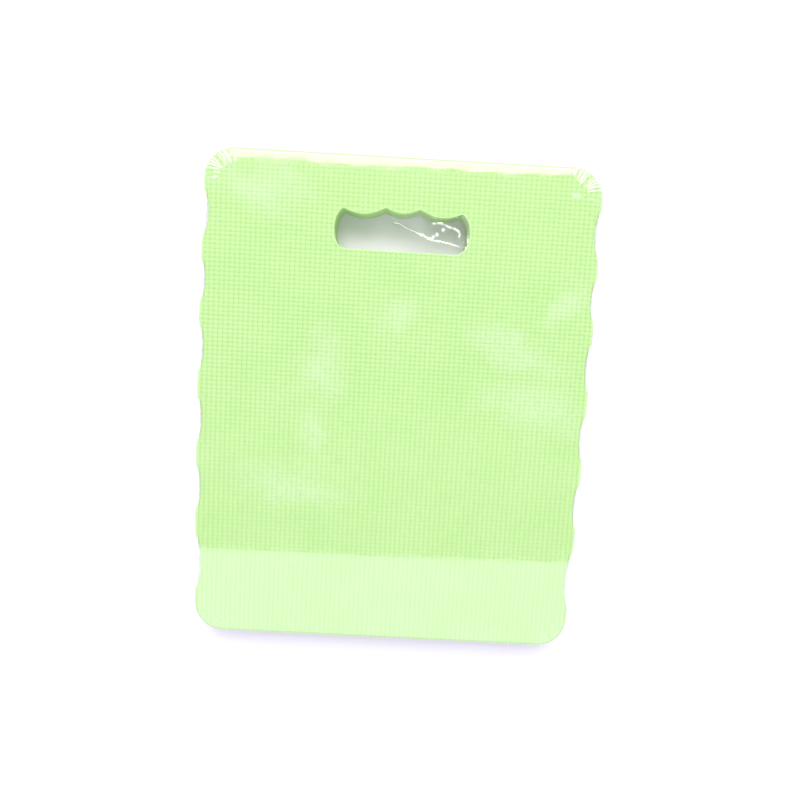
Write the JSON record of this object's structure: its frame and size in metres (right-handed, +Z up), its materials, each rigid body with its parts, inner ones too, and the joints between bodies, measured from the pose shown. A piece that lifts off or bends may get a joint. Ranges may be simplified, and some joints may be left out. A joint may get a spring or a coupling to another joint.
{
  "type": "kneeling pad",
  "caption": "Flat foam kneeling pad for gardening, with scalloped long sides, an embossed grid face and a finger-grip handle opening, shrink-wrapped in clear film.",
  "frame": {"origin": "on the surface that the pad lies on, under the middle of the pad", "axes": "+X across the pad, +Y along it towards the handle opening, +Z up out of its embossed face"},
  "size_m": [0.3258, 0.4038, 0.0312],
  "materials": {
    "foam": "matte closed-cell foam with an embossed waffle grid",
    "film": "glossy clear shrink film",
    "weld": "glossy melted film, slightly cloudy"
  },
  "bodies": {
    "root": {"foam_pad": "foam", "film_front": "film", "film_back": "film", "film_seam": "weld"}
  },
  "joints": []
}
